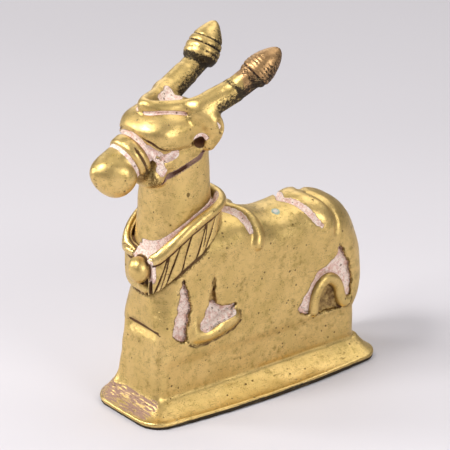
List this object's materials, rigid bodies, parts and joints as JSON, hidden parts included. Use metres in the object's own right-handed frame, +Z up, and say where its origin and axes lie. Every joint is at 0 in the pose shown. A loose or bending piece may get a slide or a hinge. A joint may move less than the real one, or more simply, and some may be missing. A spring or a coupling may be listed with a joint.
{
  "type": "nandi bull figure",
  "caption": "Small cast brass bull lying on a tall block with a flared foot, with upright horns, a banded snout, a collar of leaves and a bell.",
  "frame": {"origin": "centre of the foot's flat underside", "axes": "+Z up, the bull looks along -Y, its left side is +X"},
  "size_m": [0.0234, 0.0606, 0.0689],
  "materials": {
    "brass": "worn cast brass, bright on the high places, with pale pink residue in the recesses and dark pits"
  },
  "bodies": {
    "root": {"bull_figure": "brass"}
  },
  "joints": []
}
